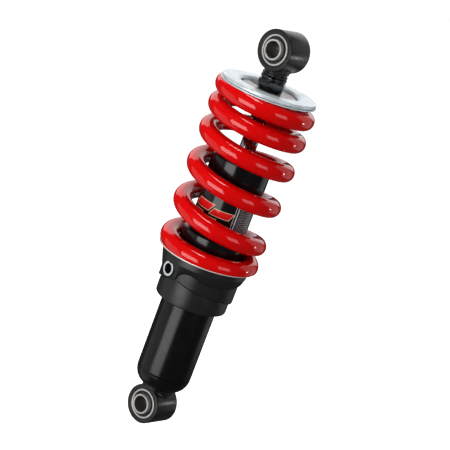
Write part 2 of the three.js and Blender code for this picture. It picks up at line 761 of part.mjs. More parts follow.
const upperWasherLow = SPRING_TOP + GAP;
const upperWasherHigh = upperWasherLow + UPPER_WASHER.thickness;
const upperWasher = ringOutline(UPPER_WASHER.inner, UPPER_WASHER.outer, upperWasherLow, upperWasherHigh);
const bumpWasherHigh = SEAT_FLOOR_TOP - SEAT_FLOOR - 0.4;
const bumpWasher = ringOutline(ROD_R + SLIP, BUMP_R + 2, BUMP_TOP + GAP, bumpWasherHigh, 0.3);
add("upper_spring_seat", upperSeat(), "zinc");
add("upper_spring_washer", turned(upperWasher), "zinc");
add("seat_retainer", seatRetainer(), "steel");
add("lock_nut", hexNut(NUT_ACROSS_FLATS, THREAD_R + SLIP, NUT_BOTTOM, NUT_TOP), "blackSteel");
add("bump_washer", turned(bumpWasher, COARSE), "steel");
add("bump_stop", bumpStop(), "rubber");

export default shock;
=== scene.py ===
# The looks of a motorcycle's rear shock absorber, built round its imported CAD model.
# Lengths in the named values and outlines are in millimetres, and meshes are made in metres.
# The frame is the CAD's: the origin at the centre of the lower eye, +Z along the damper, bolt axes along Y.
import math

import bmesh
import bpy
import numpy as np
from mathutils import Matrix, Vector


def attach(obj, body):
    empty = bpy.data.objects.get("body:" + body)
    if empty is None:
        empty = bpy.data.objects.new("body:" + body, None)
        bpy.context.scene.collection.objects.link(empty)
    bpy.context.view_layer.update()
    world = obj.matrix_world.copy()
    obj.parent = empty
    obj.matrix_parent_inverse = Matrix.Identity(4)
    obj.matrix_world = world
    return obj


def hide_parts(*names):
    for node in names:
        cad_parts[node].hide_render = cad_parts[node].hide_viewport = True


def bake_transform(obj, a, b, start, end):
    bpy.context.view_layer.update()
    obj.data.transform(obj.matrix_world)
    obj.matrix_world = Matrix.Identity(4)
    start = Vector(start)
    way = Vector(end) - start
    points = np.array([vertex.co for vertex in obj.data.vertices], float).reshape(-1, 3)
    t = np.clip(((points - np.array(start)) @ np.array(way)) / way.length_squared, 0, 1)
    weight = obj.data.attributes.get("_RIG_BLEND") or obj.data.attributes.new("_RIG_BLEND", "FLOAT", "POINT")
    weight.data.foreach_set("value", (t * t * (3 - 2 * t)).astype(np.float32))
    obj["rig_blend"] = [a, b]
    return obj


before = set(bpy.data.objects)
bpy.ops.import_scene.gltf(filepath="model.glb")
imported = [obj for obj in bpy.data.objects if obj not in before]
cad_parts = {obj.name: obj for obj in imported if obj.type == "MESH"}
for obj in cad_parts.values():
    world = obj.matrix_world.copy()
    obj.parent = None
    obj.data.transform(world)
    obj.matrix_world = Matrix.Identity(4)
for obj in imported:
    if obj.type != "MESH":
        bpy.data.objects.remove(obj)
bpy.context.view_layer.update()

MM = 0.001

# ---- Dimensions ----

# Eyes and bushes
EYE_TO_EYE = 290
EYE_R = 15.2
EYE_WIDTH = 24
EYE_LIP = 0.9
SHELL_R = 11.4
SHELL_WALL = 1.3
SHELL_WIDTH = 23
EYE_BORE_R = SHELL_R + 0.05
SLEEVE_R = 7.6
SLEEVE_BORE_R = 6.1
SLEEVE_LENGTH = 28
RUBBER_WIDTH = 21
RUBBER_FIT = 0.06
LOWER_NECK_R = 11
LOWER_NECK_TOP = 17.6
LOWER_BEAD_R = 1.5
UPPER_BEAD_R = 1.1
STEM_R = 9.6
STEM_GROOVE_R = 8.8
STEM_THREAD_R = 6
STEM_THREAD_TOP = 277

# Damper body and rod
BODY_R = 21.25
BODY_BORE_R = 18
BODY_BOTTOM = 28.6
BODY_TOP = 196
BASE_FLOOR_UNDER = 17.9
BASE_FLOOR_TOP = 18.8
BASE_FLOOR_R = 13
BASE_RISE = 12.6
RING_GROOVE_LOW = 88.4
RING_GROOVE_HIGH = 90.3
RING_GROOVE_R = BODY_R - 0.7
CAP_R = 23
CAP_BOTTOM = 185
CAP_TOP = 205.2
CAP_UNDER = 199
CAP_HOLE_R = 9.3
ROD_R = 6.25
ROD_BOTTOM = 139.4
ROD_TENON_R = 5
ROD_SHOULDER = 166.6
ROD_THREAD_R = 5.85
ROD_THREAD_FOOT = 257.2
ROD_TOP = 276.2
WIPER_R = 9
WIPER_BOTTOM = 200
WIPER_TOP = 205.9

# Coil spring
WIRE_R = 6.85
COIL_R = 32.4
SPRING_BOTTOM = 127.6
SPRING_TOP = 258
COIL_START_DEG = 215.7
CLOSED_TOP_TURNS = 0.42
COIL_COUNT = 5.8  # the hidden tip, from 5.6 on, runs into the coil above it by up to 4.8
PITCHES = [15.2, 19.7, 26.8, 29.6, 29.7]
FIRST_COIL = 254.3
TOP_END_PITCH = 14.2
START_PITCH = 9
BOTTOM_END_PITCH = 15.8
BOTTOM_END_REACH = 0.33

# Preload adjuster
RAMP_R = 27.8
COLLAR_BORE_R = 21.6
RING_BOTTOM = 88.5
RING_FOOT_R = 23.4
RING_RELIEF_TOP = 90.6
RAMP_LOW = 97.6
RAMP_HIGH = 107
RAMP_START_DEG = -89
RAMP_FALL_DEG = 115
RAMP_PERIOD_DEG = 180
RAMP_PLAY = 0.5
SKIRT_R = 29.8
STEP_LIP = 1.6
STEP_RISE = 1.7
STEP_FOOT = 107.8
STEP_LEVEL = 112.7
ARCH_TOP = 115.8
ARCH_LAG_DEG = 4
ARCH_DEG = 17
ARCH_FALL_DEG = 32
STEP_END_DEG = 125
STEP_FOOT_DEG = 150
FLANGE_R = 33.4
FLANGE_BOTTOM = 120.4
COLLAR_TOP = 126.5
WASHER_R = 38
WASHER_HOLE_R = 24.8
BAR_HOLE_R = 3.6
BAR_HOLE_Z = 113.2
BAR_HOLE_DEG = RAMP_START_DEG - 11.5
BOSS_R = 5.9
BOSS_FACE_R = 32.8
BOSS_ROOT_R = 26
GUIDE_R = 24.5
GUIDE_TOP = 145.6
GUIDE_CHAMFER = 1.3

# Upper seat, retainer, nut and bump stop
SEAT_R = 36
SEAT_HOLE_R = 9.8
SEAT_TOP = 262
SEAT_FLOOR_TOP = 254.6
SEAT_FLOOR_UNDER = 252
UPPER_WASHER_R = 36.6
UPPER_WASHER_HOLE_R = 25.9
RETAINER_R = 20.5
RETAINER_FLANGE = 5
RETAINER_BORE_R = 6.45
RETAINER_NECK_R = 9.2
RETAINER_GROOVE_R = 8.6
SLOT_DEG = 165
NUT_BOTTOM = 262.6
NUT_TOP = 271
NUT_ACROSS_FLATS = 19
NUT_THREAD_R = 5.95
BUMP_WASHER_R = 14
BUMP_WASHER_UNDER = 250.3
BUMP_WASHER_TOP = 251.6
BUMP_STOP_BOTTOM = 241.5
BUMP_STOP_TOP = 250

ROUND = 144  # sides of a large round piece
SMALL_ROUND = 96
SHARP_DEG = 32  # an edge that turns more than this shows as a crease


# ---- Mesh helpers ----

def add_mesh(name, verts, faces, sharp=SHARP_DEG):
    """A smooth-shaded object from points in millimetres, with its faces turned outwards."""
    mesh = bpy.data.meshes.new(name)
    mesh.from_pydata((np.asarray(verts, float) * MM).tolist(), [], faces)
    bm = bmesh.new()
    bm.from_mesh(mesh)
    bmesh.ops.remove_doubles(bm, verts=bm.verts, dist=1e-7)
    bmesh.ops.recalc_face_normals(bm, faces=bm.faces)
    bm.to_mesh(mesh)
    bm.free()
    shade(mesh, sharp)
    made = bpy.data.objects.new(name, mesh)
    bpy.context.scene.collection.objects.link(made)
    return made


def shade(mesh, sharp=SHARP_DEG):
    mesh.polygons.foreach_set("use_smooth", [True] * len(mesh.polygons))
    mesh.set_sharp_from_angle(angle=math.radians(sharp))
    mesh.update()


def rounded(outline, steps=4):
    """A closed outline of (radius, height, fillet) with each corner rounded by its fillet, if it has one."""
    made = []
    count = len(outline)
    for i, corner in enumerate(outline):
        here = np.array(corner[:2], float)
        fillet = corner[2] if len(corner) > 2 else 0
        if fillet == 0:
            made.append(tuple(here))
            continue
        before = np.array(outline[i - 1][:2], float) - here
        after = np.array(outline[(i + 1) % count][:2], float) - here
        room = min(fillet, 0.49 * np.linalg.norm(before), 0.49 * np.linalg.norm(after))
        start = here + before / np.linalg.norm(before) * room
        end = here + after / np.linalg.norm(after) * room
        for k in range(steps + 1):
            t = k / steps
            made.append(tuple((1 - t) ** 2 * start + 2 * t * (1 - t) * here + t * t * end))
    return made


def revolved(name, outline, sides=ROUND, axis="Z", height=0, steps=4, sharp=SHARP_DEG):
    """A solid of revolution. A height in the outline may be a function of the angle in degrees."""
    verts = []
    for i in range(sides):
        degrees = 360 * i / sides
        row = [(c[0], c[1](degrees) if callable(c[1]) else c[1], *c[2:]) for c in outline]
        points = rounded(row, steps)
        cos, sin = math.cos(math.radians(degrees)), math.sin(math.radians(degrees))
        for r, h in points:
            verts.append((r * cos, r * sin, h + height) if axis == "Z" else (r * cos, h, r * sin + height))
    count = len(points)
    on_axis = [r < 1e-6 for r, h in points]
    faces = []
    for i in range(sides):
        n = (i + 1) % sides
        for j in range(count):
            k = (j + 1) % count
            a, b, c, d = i * count + j, i * count + k, n * count + k, n * count + j
            if on_axis[j] and on_axis[k]:
                continue
            if on_axis[j]:
                faces.append((a, b, c))
            elif on_axis[k]:
                faces.append((a, b, d))
            else:
                faces.append((a, b, c, d))
    return add_mesh(name, verts, faces, sharp)


def ring(inner, outer, low, high, fillet=0.3):
    return [(inner, low, fillet), (outer, low, fillet), (outer, high, fillet), (inner, high, fillet)]


def combined(base, tools, operation="UNION", sharp=SHARP_DEG):
    """base with each tool joined to it or cut from it, as one mesh. The tools are used up."""
    for tool in tools:
        modifier = base.modifiers.new("combine", "BOOLEAN")
        modifier.operation = operation
        modifier.solver = "EXACT"
        modifier.object = tool
        depsgraph = bpy.context.evaluated_depsgraph_get()
        mesh = bpy.data.meshes.new_from_object(base.evaluated_get(depsgraph))
        base.modifiers.clear()
        base.data = mesh
        bpy.data.objects.remove(tool)
    base.data.name = base.name
    shade(base.data, sharp)
    return base


UPWARD = np.array([0, 0, 1.0])


def weld_bead(name, neck_r, barrel_r, side, height, size, count=72, sides=10):
    """A round bead where a neck about Z meets a barrel about Y. side is 1 above the barrel, -1 below it."""
    verts, faces = [], []
    for i in range(count):
        around = 2 * math.pi * i / count
        outward = np.array([math.cos(around), math.sin(around), 0])
        x, y = neck_r * outward[0], neck_r * outward[1]
        centre = np.array([x, y, side * math.sqrt(barrel_r ** 2 - x ** 2) + height])
        n = (i + 1) % count
        for k in range(sides):
            angle = 2 * math.pi * k / sides
            verts.append(centre + size * (math.cos(angle) * outward + math.sin(angle) * UPWARD))
            m = (k + 1) % sides
            faces.append((i * sides + k, i * sides + m, n * sides + m, n * sides + k))
    return add_mesh(name, verts, faces)


# ---- Materials ----

class Nodes:
    """A material's node tree, with short ways to add what these materials need."""

    def __init__(self, name):
        self.material = bpy.data.materials.new(name)
        self.material.use_nodes = True
        self.tree = self.material.node_tree
        self.shader = self.tree.nodes["Principled BSDF"]
        self.coords = self.tree.nodes.new("ShaderNodeTexCoord").outputs["Object"]

    def add(self, kind, inputs=None, **settings):
        node = self.tree.nodes.new(kind)
        for key, value in settings.items():
            setattr(node, key, value)
        for key, value in (inputs or {}).items():
            self.put(node.inputs[key], value)
        return node

    def put(self, socket, value):
        if isinstance(value, bpy.types.NodeSocket):
            self.tree.links.new(value, socket)
        else:
            socket.default_value = value

    def set(self, **values):
        for key, value in values.items():
            self.put(self.shader.inputs[key.replace("_", " ")], value)

    def math(self, operation, a, b=0.0, c=0.0, clamp=False):
        node = self.add("ShaderNodeMath", operation=operation, use_clamp=clamp)
        for socket, value in zip(node.inputs, (a, b, c)):
            self.put(socket, value)
        return node.outputs[0]

    def noise(self, size, detail=3.0, stretch=(1, 1, 1)):
        """Noise from 0 to 1 whose features are about size millimetres across."""
        shares = tuple(1 / s for s in stretch)
        scaled = self.add("ShaderNodeMapping", {"Vector": self.coords, "Scale": shares})
        texture = self.add(
            "ShaderNodeTexNoise",
            {"Vector": scaled.outputs[0], "Scale": 1 / (size * MM), "Detail": detail, "Roughness": 0.5},
        )
        return texture.outputs["Fac"]

    def spread(self, value, low, high, start=0.3, end=0.7):
        """value from start to end turned into low to high."""
        node = self.add(
            "ShaderNodeMapRange",
            {"Value": value, "From Min": start, "From Max": end, "To Min": low, "To Max": high},
        )
        return node.outputs[0]

    def mix(self, share, a, b):
        node = self.add("ShaderNodeMix", data_type="RGBA")
        self.put(node.inputs[0], share)
        self.put(node.inputs[6], a)
        self.put(node.inputs[7], b)
        return node.outputs[2]

    def bump(self, height, depth, under=None):
        """A normal from a height of 0 to 1 that stands for depth millimetres."""
        inputs = {"Height": height, "Distance": depth * MM, "Strength": 1.0}
        if under is not None:
            inputs["Normal"] = under
        return self.add("ShaderNodeBump", inputs).outputs[0]

    def radius(self, axis, height=0):
        """Distance in millimetres from the damper's axis, or from a bolt axis at a height."""
        shifted = self.add("ShaderNodeVectorMath", {0: self.coords, 1: (0, 0, -height * MM)}, operation="ADD")
        kept = (1, 1, 0) if axis == "Z" else (1, 0, 1)
        flat = self.add("ShaderNodeVectorMath", {0: shifted.outputs[0], 1: kept}, operation="MULTIPLY")
        length = self.add("ShaderNodeVectorMath", {0: flat.outputs[0]}, operation="LENGTH")
        return self.math("MULTIPLY", length.outputs["Value"], 1 / MM)


def rgba(r, g, b):
    return (r, g, b, 1.0)


def paint(
    name, colour, pale, roughness, grain, depth, peel, peel_depth,
    coat=0.0, coat_roughness=0.1, specular=0.5, coat_ior=1.5,
):
    """Paint or coating. Its colour drifts a little towards pale, its roughness is patchy, and its surface has
    grain and orange peel: each has a size and a depth in millimetres."""
    n = Nodes(name)
    drift = n.spread(n.noise(9, 4), 0.0, 1.0)
    specks = n.spread(n.noise(0.35, 2), 0.0, 1.0, 0.62, 0.72)
    faded = n.math("MULTIPLY_ADD", specks, 0.35, n.math("MULTIPLY", drift, 0.6), clamp=True)
    low, high = roughness
    n.set(
        Base_Color=n.mix(faded, colour, pale),
        Roughness=n.math("MULTIPLY_ADD", specks, 0.05, n.spread(n.noise(5, 5), low, high)),
        Coat_Weight=coat,
        Coat_Roughness=coat_roughness,
        Specular_IOR_Level=specular,
        Coat_IOR=coat_ior,
    )
    first = n.bump(n.noise(peel, 1.5), peel_depth)
    n.set(Normal=n.bump(n.noise(grain, 3), depth, under=first))
    return n.material


def metal(
    name, colour, tarnished, roughness, grain=0.25, depth=0.004, stretch=(1, 1, 1), rings=None, metallic=1.0,
    dark_within=None, dark=None,
):
    """Bare or plated metal with patchy tarnish. rings gives the axis, height and pitch of tool marks that run
    round an axis. Surfaces nearer that axis than dark_within take the colour dark: painted shade in the bore of
    the bush sleeves, and the black neck of the seat retainer."""
    n = Nodes(name)
    tarnish = n.spread(n.noise(6, 5), 0.0, 1.0, 0.35, 0.7)
    low, high = roughness
    if rings:
        axis, height, pitch = rings
        radius = n.radius(axis, height)
        along = n.math("DIVIDE", radius, pitch)
        line = n.add("ShaderNodeTexNoise", {"W": along, "Detail": 2.0}, noise_dimensions="1D")
        marks = line.outputs["Fac"]
    else:
        marks = n.noise(grain, 4, stretch)
    shade_of_metal = n.mix(tarnish, colour, tarnished)
    # Painted shade: inside the bush sleeves' bores the colour turns to dark; on the seat retainer the same mix
    # gives its black neck.
    if dark_within:
        inside = n.math("LESS_THAN", radius, dark_within)
        shade_of_metal = n.mix(inside, shade_of_metal, dark)
    n.set(
        Base_Color=shade_of_metal,
        Metallic=metallic,
        Roughness=n.math("MULTIPLY_ADD", marks, 0.12, n.spread(n.noise(3, 5), low - 0.06, high - 0.06)),
        Normal=n.bump(marks, depth),
    )
    return n.material


def soft(name, colour, pale, roughness=0.62):
    """Rubber: matt, with fine pores and a faint bloom."""
    n = Nodes(name)
    bloom = n.spread(n.noise(4, 6), 0.0, 1.0)
    n.set(
        Base_Color=n.mix(bloom, colour, pale),
        Roughness=n.spread(n.noise(2, 5), roughness - 0.08, roughness + 0.1),
        Normal=n.bump(n.noise(0.3, 4), 0.02),
    )
    return n.material


CAST_BLACK = paint(
    "cast_black", rgba(0.013, 0.0125, 0.0125), rgba(0.019, 0.018, 0.018), (0.24, 0.3),
    grain=0.5, depth=0.006, peel=1.8, peel_depth=0.005,
)
COLLAR_BLACK = paint(
    "collar_black", rgba(0.0115, 0.0115, 0.013), rgba(0.0185, 0.018, 0.0195), (0.31, 0.4),
    grain=0.45, depth=0.03, peel=1.4, peel_depth=0.016,
)
BLACK_PAINT = paint(
    "black_paint", rgba(0.0034, 0.0033, 0.0042), rgba(0.0064, 0.006, 0.0062), (0.2, 0.27),
    grain=0.8, depth=0.003, peel=3.5, peel_depth=0.006, specular=0.4,
)
GLOSS_BLACK = paint(
    "gloss_black", rgba(0.003, 0.003, 0.004), rgba(0.005, 0.005, 0.006), (0.14, 0.2),
    grain=1.2, depth=0.002, peel=4, peel_depth=0.004,
)
RED_POWDER = paint(
    "red_powder", rgba(0.8, 0.0004, 0.0009), rgba(0.73, 0.0006, 0.001), (0.4, 0.46),
    grain=0.7, depth=0.002, peel=4, peel_depth=0.005,
    coat=0.9, coat_roughness=0.07, specular=0.0, coat_ior=1.62,
)
ZINC = metal(
    "zinc", rgba(0.84, 0.91, 0.95), rgba(0.7, 0.77, 0.81), (0.28, 0.38),
    grain=0.5, depth=0.005, metallic=0.35,
)
WASHER_STEEL = metal(
    "washer_steel", rgba(0.9, 0.88, 0.86), rgba(0.8, 0.78, 0.76), (0.3, 0.4), grain=0.4, metallic=0.2,
)
RIM_ZINC = metal(
    "rim_zinc", rgba(0.82, 0.89, 0.92), rgba(0.7, 0.77, 0.8), (0.36, 0.46), grain=0.4, metallic=0.35,
)
RETAINER_STEEL = metal(
    "retainer_steel", rgba(0.46, 0.44, 0.42), rgba(0.34, 0.32, 0.31), (0.3, 0.4), depth=0.006, metallic=0.6,
    rings=("Z", 0, 0.3), dark_within=RETAINER_NECK_R + 0.4, dark=rgba(0.012, 0.012, 0.013),
)
DULL_STEEL = metal("dull_steel", rgba(0.36, 0.35, 0.34), rgba(0.26, 0.25, 0.24), (0.34, 0.46))
BLACK_OXIDE = metal(
    "black_oxide", rgba(0.085, 0.087, 0.095), rgba(0.04, 0.04, 0.044), (0.12, 0.2), grain=0.4, depth=0.008,
)
CHROME = metal(
    "chrome", rgba(0.42, 0.43, 0.45), rgba(0.36, 0.37, 0.38), (0.1, 0.14),
    grain=0.3, depth=0.0006, stretch=(1, 1, 0.05),
)
ALUMINIUM = metal(
    "aluminium", rgba(0.62, 0.63, 0.64), rgba(0.5, 0.51, 0.52), (0.32, 0.42), rings=("Z", 0, 0.25),
)
BRONZE = metal(
    "bronze", rgba(0.5, 0.32, 0.14), rgba(0.36, 0.22, 0.1), (0.36, 0.5), grain=0.3, depth=0.01,
)
SLIP_BAND = soft("slip_band", rgba(0.06, 0.034, 0.024), rgba(0.085, 0.05, 0.034), 0.5)
RUBBER = soft("rubber", rgba(0.02, 0.02, 0.021), rgba(0.034, 0.034, 0.036))
# The bush steel carries painted shade: the sleeve bore, within SLEEVE_BORE_R + 0.15 of the bolt axis, is darkened
# to the dark colour.
BUSH_STEEL_BORE_SHADED = {
    end: metal(
        f"{end}_bush_steel_bore_shaded", rgba(0.78, 0.76, 0.74), rgba(0.66, 0.64, 0.62), (0.34, 0.44),
        depth=0.006, rings=("Y", height, 0.3), metallic=0.7,
        dark_within=SLEEVE_BORE_R + 0.15, dark=rgba(0.17, 0.155, 0.14),
    )
    for end, height in (("lower", 0), ("upper", EYE_TO_EYE))
}
BUSH_RUBBER = soft("bush_rubber", rgba(0.035, 0.034, 0.034), rgba(0.055, 0.053, 0.053), 0.42)


def finish_piece(piece, material, body, slot, *nodes):
    """Gives a piece its material, its body and the CAD nodes that it stands for. The slot is not used."""
    piece.data.materials.clear()
    piece.data.materials.append(material)
    if body:
        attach(piece, body)
    if nodes:
        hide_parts(*nodes)
    return piece


# ---- Eyes and bushes ----

def eye_barrel(name, height):
    half = EYE_WIDTH / 2
    bevel = 0.5
    return revolved(name, [
        (EYE_BORE_R, -half + bevel),
        (EYE_BORE_R + bevel, -half, 0.2),
        (EYE_R, -half, EYE_LIP),
        (EYE_R, half, EYE_LIP),
        (EYE_BORE_R + bevel, half, 0.2),
        (EYE_BORE_R, half - bevel),
    ], axis="Y", height=height)


def cylinder(name, radius, low, high, sides=ROUND, axis="Z", height=0):
    return revolved(name, [(0, low), (radius, low), (radius, high), (0, high)], sides, axis, height)


def bore_plug(height):
    return cylinder("bore_plug", EYE_BORE_R, -EYE_WIDTH, EYE_WIDTH, axis="Y", height=height)


lower_eye = eye_barrel("lower_eye_cast", 0)
lower_neck = cylinder("lower_neck", LOWER_NECK_R, SHELL_R - 2, LOWER_NECK_TOP, SMALL_ROUND)
lower_bead = weld_bead("lower_bead", LOWER_NECK_R, EYE_R, 1, 0, LOWER_BEAD_R)
combined(lower_eye, [lower_neck, lower_bead])
combined(lower_eye, [bore_plug(0)], "DIFFERENCE")
finish_piece(lower_eye, CAST_BLACK, "damper_body", "cast_black", "lower_eye")

STEM_FOOT = NUT_TOP + 0.3
upper_eye = eye_barrel("upper_eye_forged", EYE_TO_EYE)
upper_stem = revolved("upper_stem", [
    (0, STEM_FOOT),
    (STEM_R, STEM_FOOT, 0.7),
    (STEM_R, STEM_FOOT + 1.3, 0.3),
    (STEM_GROOVE_R, STEM_FOOT + 1.8, 0.3),
    (STEM_GROOVE_R, STEM_FOOT + 2.6, 0.3),
    (STEM_R, STEM_FOOT + 3.1, 0.3),
    (STEM_R, EYE_TO_EYE - EYE_R + 1),
    (STEM_R + 0.9, EYE_TO_EYE - SHELL_R - 0.5),
    (0, EYE_TO_EYE - SHELL_R - 0.5),
], SMALL_ROUND)
upper_bead = weld_bead("upper_bead", STEM_R, EYE_R, -1, EYE_TO_EYE, UPPER_BEAD_R)
combined(upper_eye, [upper_stem, upper_bead])
thread_hole = cylinder("thread_hole", STEM_THREAD_R, STEM_FOOT - 1, STEM_THREAD_TOP, SMALL_ROUND)
combined(upper_eye, [bore_plug(EYE_TO_EYE), thread_hole], "DIFFERENCE")
finish_piece(upper_eye, CAST_BLACK, "rod_assembly", "cast_black", "upper_eye")


def add_bush(end, height, body, sleeve_body):
    """The steel shell, dished rubber and bolt sleeve in one eye. The sleeve rides on a body of its own."""
    half = SHELL_WIDTH / 2
    section = ring(SHELL_R - SHELL_WALL, SHELL_R, -half, half, 0.25)
    shell = revolved(f"{end}_shell_turned", section, axis="Y", height=height)
    finish_piece(shell, BUSH_STEEL_BORE_SHADED[end], body, "bright_steel", f"{end}_bush_shell")
    inner, outer = SLEEVE_R + RUBBER_FIT, SHELL_R - SHELL_WALL - RUBBER_FIT
    middle = (inner + outer) / 2
    face = RUBBER_WIDTH / 2
    dished = [
        (inner, face + 0.5, 0.2),
        (inner + 0.5, face + 0.3, 0.2),
        (middle - 0.35, face - 1.2, 0.3),
        (middle + 0.35, face - 1.2, 0.3),
        (outer - 0.6, face + 0.1, 0.2),
        (outer, face, 0.2),
    ]
    outline = [(r, -h, f) for r, h, f in dished] + [(r, h, f) for r, h, f in reversed(dished)]
    rubber = revolved(f"{end}_rubber_moulded", outline, axis="Y", height=height)
    finish_piece(rubber, BUSH_RUBBER, body, "rubber", f"{end}_bush_rubber")
    long = SLEEVE_LENGTH / 2
    bevel, edge = 0.45, 0.15
    sleeve = revolved(f"{end}_sleeve_turned", [
        (SLEEVE_BORE_R, -long + bevel, 0.1),
        (SLEEVE_BORE_R + bevel, -long, 0.1),
        (SLEEVE_R - edge, -long, 0.06),
        (SLEEVE_R, -long + edge, 0.06),
        (SLEEVE_R, long - edge, 0.06),
        (SLEEVE_R - edge, long, 0.06),
        (SLEEVE_BORE_R + bevel, long, 0.1),
        (SLEEVE_BORE_R, long - bevel, 0.1),
    ], axis="Y", height=height)
    finish_piece(sleeve, BUSH_STEEL_BORE_SHADED[end], sleeve_body, "bright_steel", f"{end}_bush_sleeve")


add_bush("lower", 0, "damper_body", "lower_bolt_sleeve")
add_bush("upper", EYE_TO_EYE, "rod_assembly", "upper_bolt_sleeve")

# ---- Damper body ----

BASE_FOOT_R = LOWER_NECK_R + 0.4
BASE_RIM = BODY_BOTTOM - 0.12
BASE_STEPS = 14
base_outline = []
for i in range(BASE_STEPS + 1):
    turn = math.pi / 2 * i / BASE_STEPS
    base_outline.append((
        BASE_FOOT_R + (BODY_R - BASE_FOOT_R) * math.sin(turn),
        BASE_RIM - BASE_RISE * math.cos(turn),
    ))
base_outline += [
    (BODY_BORE_R, BASE_RIM),
    (BODY_BORE_R - 2, BASE_RIM - 5),
    (BASE_FLOOR_R, BASE_FLOOR_TOP),
    (0, BASE_FLOOR_TOP),
    (0, BASE_FLOOR_UNDER),
    (BASE_FOOT_R, BASE_FLOOR_UNDER),
]
body_base = revolved("body_base_pressed", base_outline)
finish_piece(body_base, BLACK_PAINT, "damper_body", "black_paint", "body_base")

body_tube = revolved("body_tube_drawn", [
    (BODY_BORE_R, BODY_BOTTOM, 0.3),
    (BODY_R - 0.25, BODY_BOTTOM, 0.2),
    (BODY_R, BODY_BOTTOM + 1.1, 0.5),
    (BODY_R, RING_GROOVE_LOW, 0.1),
    (RING_GROOVE_R, RING_GROOVE_LOW),
    (RING_GROOVE_R, RING_GROOVE_HIGH),
    (BODY_R, RING_GROOVE_HIGH, 0.1),
    (BODY_R, BODY_TOP, 0.3),
    (BODY_BORE_R, BODY_TOP, 0.3),
])
finish_piece(body_tube, BLACK_PAINT, "damper_body", "black_paint", "body_tube")

top_cap = revolved("top_cap_pressed", [
    (BODY_R + 0.1, CAP_BOTTOM),
    (CAP_R, CAP_BOTTOM, 0.5),
    (CAP_R, CAP_TOP - 1.4, 0.3),
    (CAP_R - 0.5, CAP_TOP - 0.4, 0.3),
    (CAP_R - 1.4, CAP_TOP, 0.3),
    (13, CAP_TOP, 0.4),
    (12.4, CAP_TOP - 0.5, 0.4),
    (CAP_HOLE_R, CAP_TOP - 0.5, 0.3),
    (CAP_HOLE_R, CAP_UNDER, 0.2),
    (BODY_R + 0.1, CAP_UNDER),
])
finish_piece(top_cap, GLOSS_BLACK, "damper_body", "gloss_black", "top_cap")

piston_rod = revolved("piston_rod_ground", [
    (0, ROD_BOTTOM),
    (ROD_TENON_R, ROD_BOTTOM, 0.6),
    (ROD_TENON_R, ROD_SHOULDER),
    (ROD_R, ROD_SHOULDER, 0.2),
    (ROD_R, ROD_THREAD_FOOT, 0.5),
    (ROD_THREAD_R, ROD_THREAD_FOOT + 0.1),
    (ROD_THREAD_R, ROD_TOP, 0.6),
    (0, ROD_TOP),
], SMALL_ROUND)
finish_piece(piston_rod, CHROME, "rod_assembly", "chrome", "piston_rod")

dust_wiper = revolved("dust_wiper_moulded", [
    (ROD_R + 0.12, WIPER_BOTTOM, 0.2),
    (WIPER_R, WIPER_BOTTOM, 0.2),
    (WIPER_R, WIPER_TOP - 1.1, 0.3),
    (WIPER_R - 1.2, WIPER_TOP - 0.8, 0.3),
    (WIPER_R - 2.1, WIPER_TOP, 0.2),
    (ROD_R + 0.12, WIPER_TOP, 0.1),
], SMALL_ROUND)
finish_piece(dust_wiper, RUBBER, "damper_body", "rubber", "dust_wiper")

# ---- Label ----

LABEL_R = BODY_R + 0.12
LABEL_INNER_R = BODY_R + 0.015
LABEL_LOW, LABEL_HIGH = 149.5, 184.2
LABEL_FROM_DEG, LABEL_TO_DEG = -150, 66
LABEL_CORNER = 3
STRIPE_SLANT = 0.6
STRIPE_EDGE = 0.45
STRIPE_LEVEL = 165
# Each stripe's two ends, measured round the body at STRIPE_LEVEL, then its lowest and highest point.
STRIPES = [
    (-48, -31, 164, 170.6), (-44.5, -34, 158.4, 162.4), (-29.5, -13, 162.2, 168), (-33, -20.5, 156.4, 160.6),
]
PANEL_LINES = [(-11.4, 0.45), (-9.4, 0.95)]  # place round the body, then width
PANEL_FROM = -8.2


def label_material():
    """A printed label: outlined slanted stripes on black, two pin lines, and a woven grey panel."""
    n = Nodes("label_print")
    place = n.add("ShaderNodeSeparateXYZ", {0: n.coords})
    across = n.math("MULTIPLY", n.math("ARCTAN2", place.outputs["Y"], place.outputs["X"]), LABEL_R)
    high = n.math("MULTIPLY", place.outputs["Z"], 1 / MM)
    lean = n.math("MULTIPLY", n.math("SUBTRACT", high, STRIPE_LEVEL), STRIPE_SLANT)
    slanted = n.math("SUBTRACT", across, lean)

    def within(value, low, top):
        return n.math("MULTIPLY", n.math("GREATER_THAN", value, low), n.math("LESS_THAN", value, top))

    def stripes(inset):
        """1 on the stripes, drawn in from their edges by inset, and 0 elsewhere."""
        total = 0.0
        for start, end, low, top in STRIPES:
            wide = within(slanted, start + inset * 1.2, end - inset * 1.2)
            total = n.math("MAXIMUM", total, n.math("MULTIPLY", wide, within(high, low + inset, top - inset)))
        return total

    weave = n.add("ShaderNodeCombineXYZ", {0: across, 1: high, 2: 0.0})
    bricks = n.add(
        "ShaderNodeTexBrick",
        {
            "Vector": weave.outputs[0],
            "Color1": rgba(0.035, 0.036, 0.037), "Color2": rgba(0.075, 0.077, 0.08),
            "Mortar": rgba(0.4, 0.41, 0.42), "Mortar Size": 0.2, "Mortar Smooth": 0.5,
            "Scale": 1.0, "Brick Width": 4.2, "Row Height": 1.5,
        },
        offset=0.5,
    )
    ground = n.mix(n.noise(5, 4), rgba(0.005, 0.005, 0.006), rgba(0.009, 0.009, 0.01))
    colour = n.mix(n.math("GREATER_THAN", across, PANEL_FROM), ground, bricks.outputs["Color"])
    for at, width in PANEL_LINES:
        colour = n.mix(within(across, at - width / 2, at + width / 2), colour, rgba(0.72, 0.74, 0.76))
    colour = n.mix(stripes(0.0), colour, rgba(0.86, 0.62, 0.4))
    red = n.mix(n.noise(7, 4), rgba(0.86, 0.012, 0.014), rgba(0.78, 0.01, 0.012))
    colour = n.mix(stripes(STRIPE_EDGE), colour, red)
    n.set(
        Base_Color=colour,
        Roughness=n.spread(n.noise(3, 5), 0.12, 0.2),
        Normal=n.bump(n.noise(2.2, 2), 0.004),
    )
    return n.material


